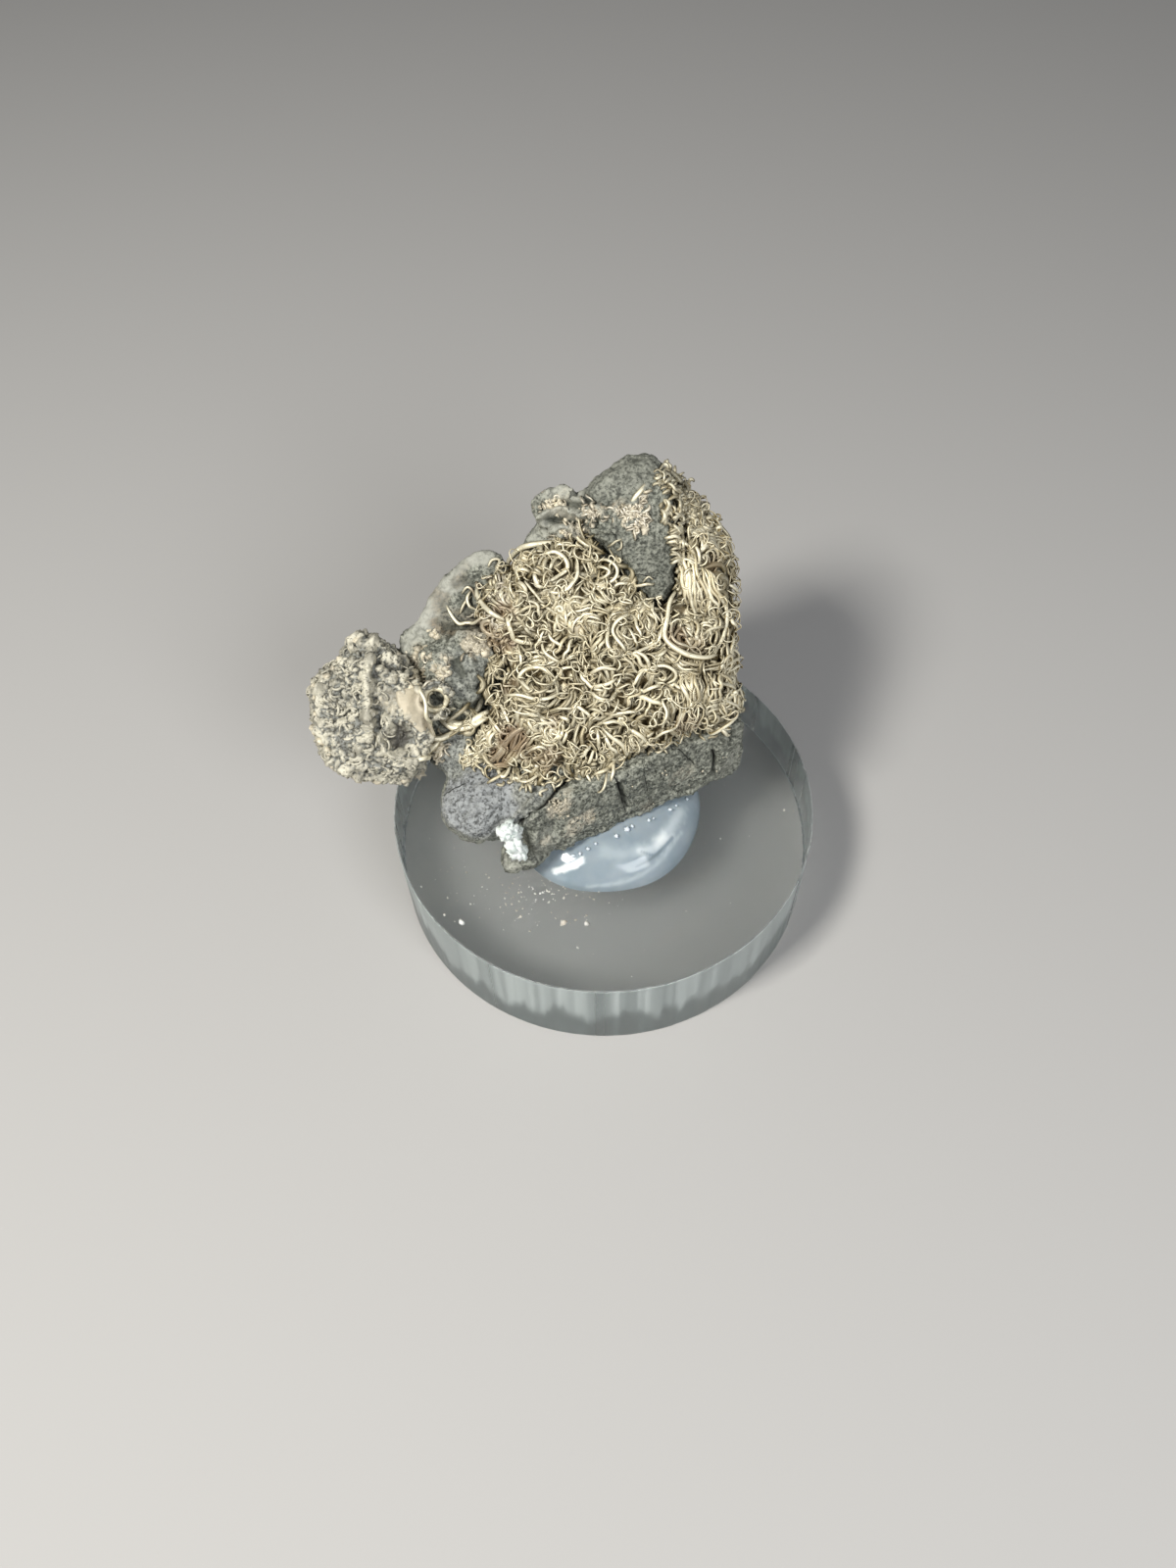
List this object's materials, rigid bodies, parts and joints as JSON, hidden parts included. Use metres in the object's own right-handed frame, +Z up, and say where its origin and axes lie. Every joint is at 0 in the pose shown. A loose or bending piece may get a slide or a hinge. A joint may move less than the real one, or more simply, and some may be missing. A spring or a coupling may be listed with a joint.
{
  "type": "native silver specimen",
  "caption": "Curled wire silver on a dark rock plate with a silver-crusted knob at one side, held leaning back by a dome of clear putty on a clear round base.",
  "frame": {"origin": "middle of the clear base's underside", "axes": "+Z up, out of the base's top; -Y towards the side that the silver face leans towards, +X to the right as seen from there"},
  "size_m": [0.0288, 0.0254, 0.0247],
  "materials": {
    "clear_acrylic": "clear, sawn side wall",
    "clear_putty": "milky, glossy",
    "dark_rock": "rough, granular",
    "wire_silver": "lightly tarnished",
    "silver_crust": "grainy, silvery",
    "white_calcite": "glassy, white"
  },
  "bodies": {
    "root": {"acrylic_base": "clear_acrylic", "mounting_putty": "clear_putty", "matrix_rock": "dark_rock", "silver_wire_nest": "wire_silver", "silver_crust_knob": "silver_crust", "calcite_crystals": "white_calcite"}
  },
  "joints": []
}
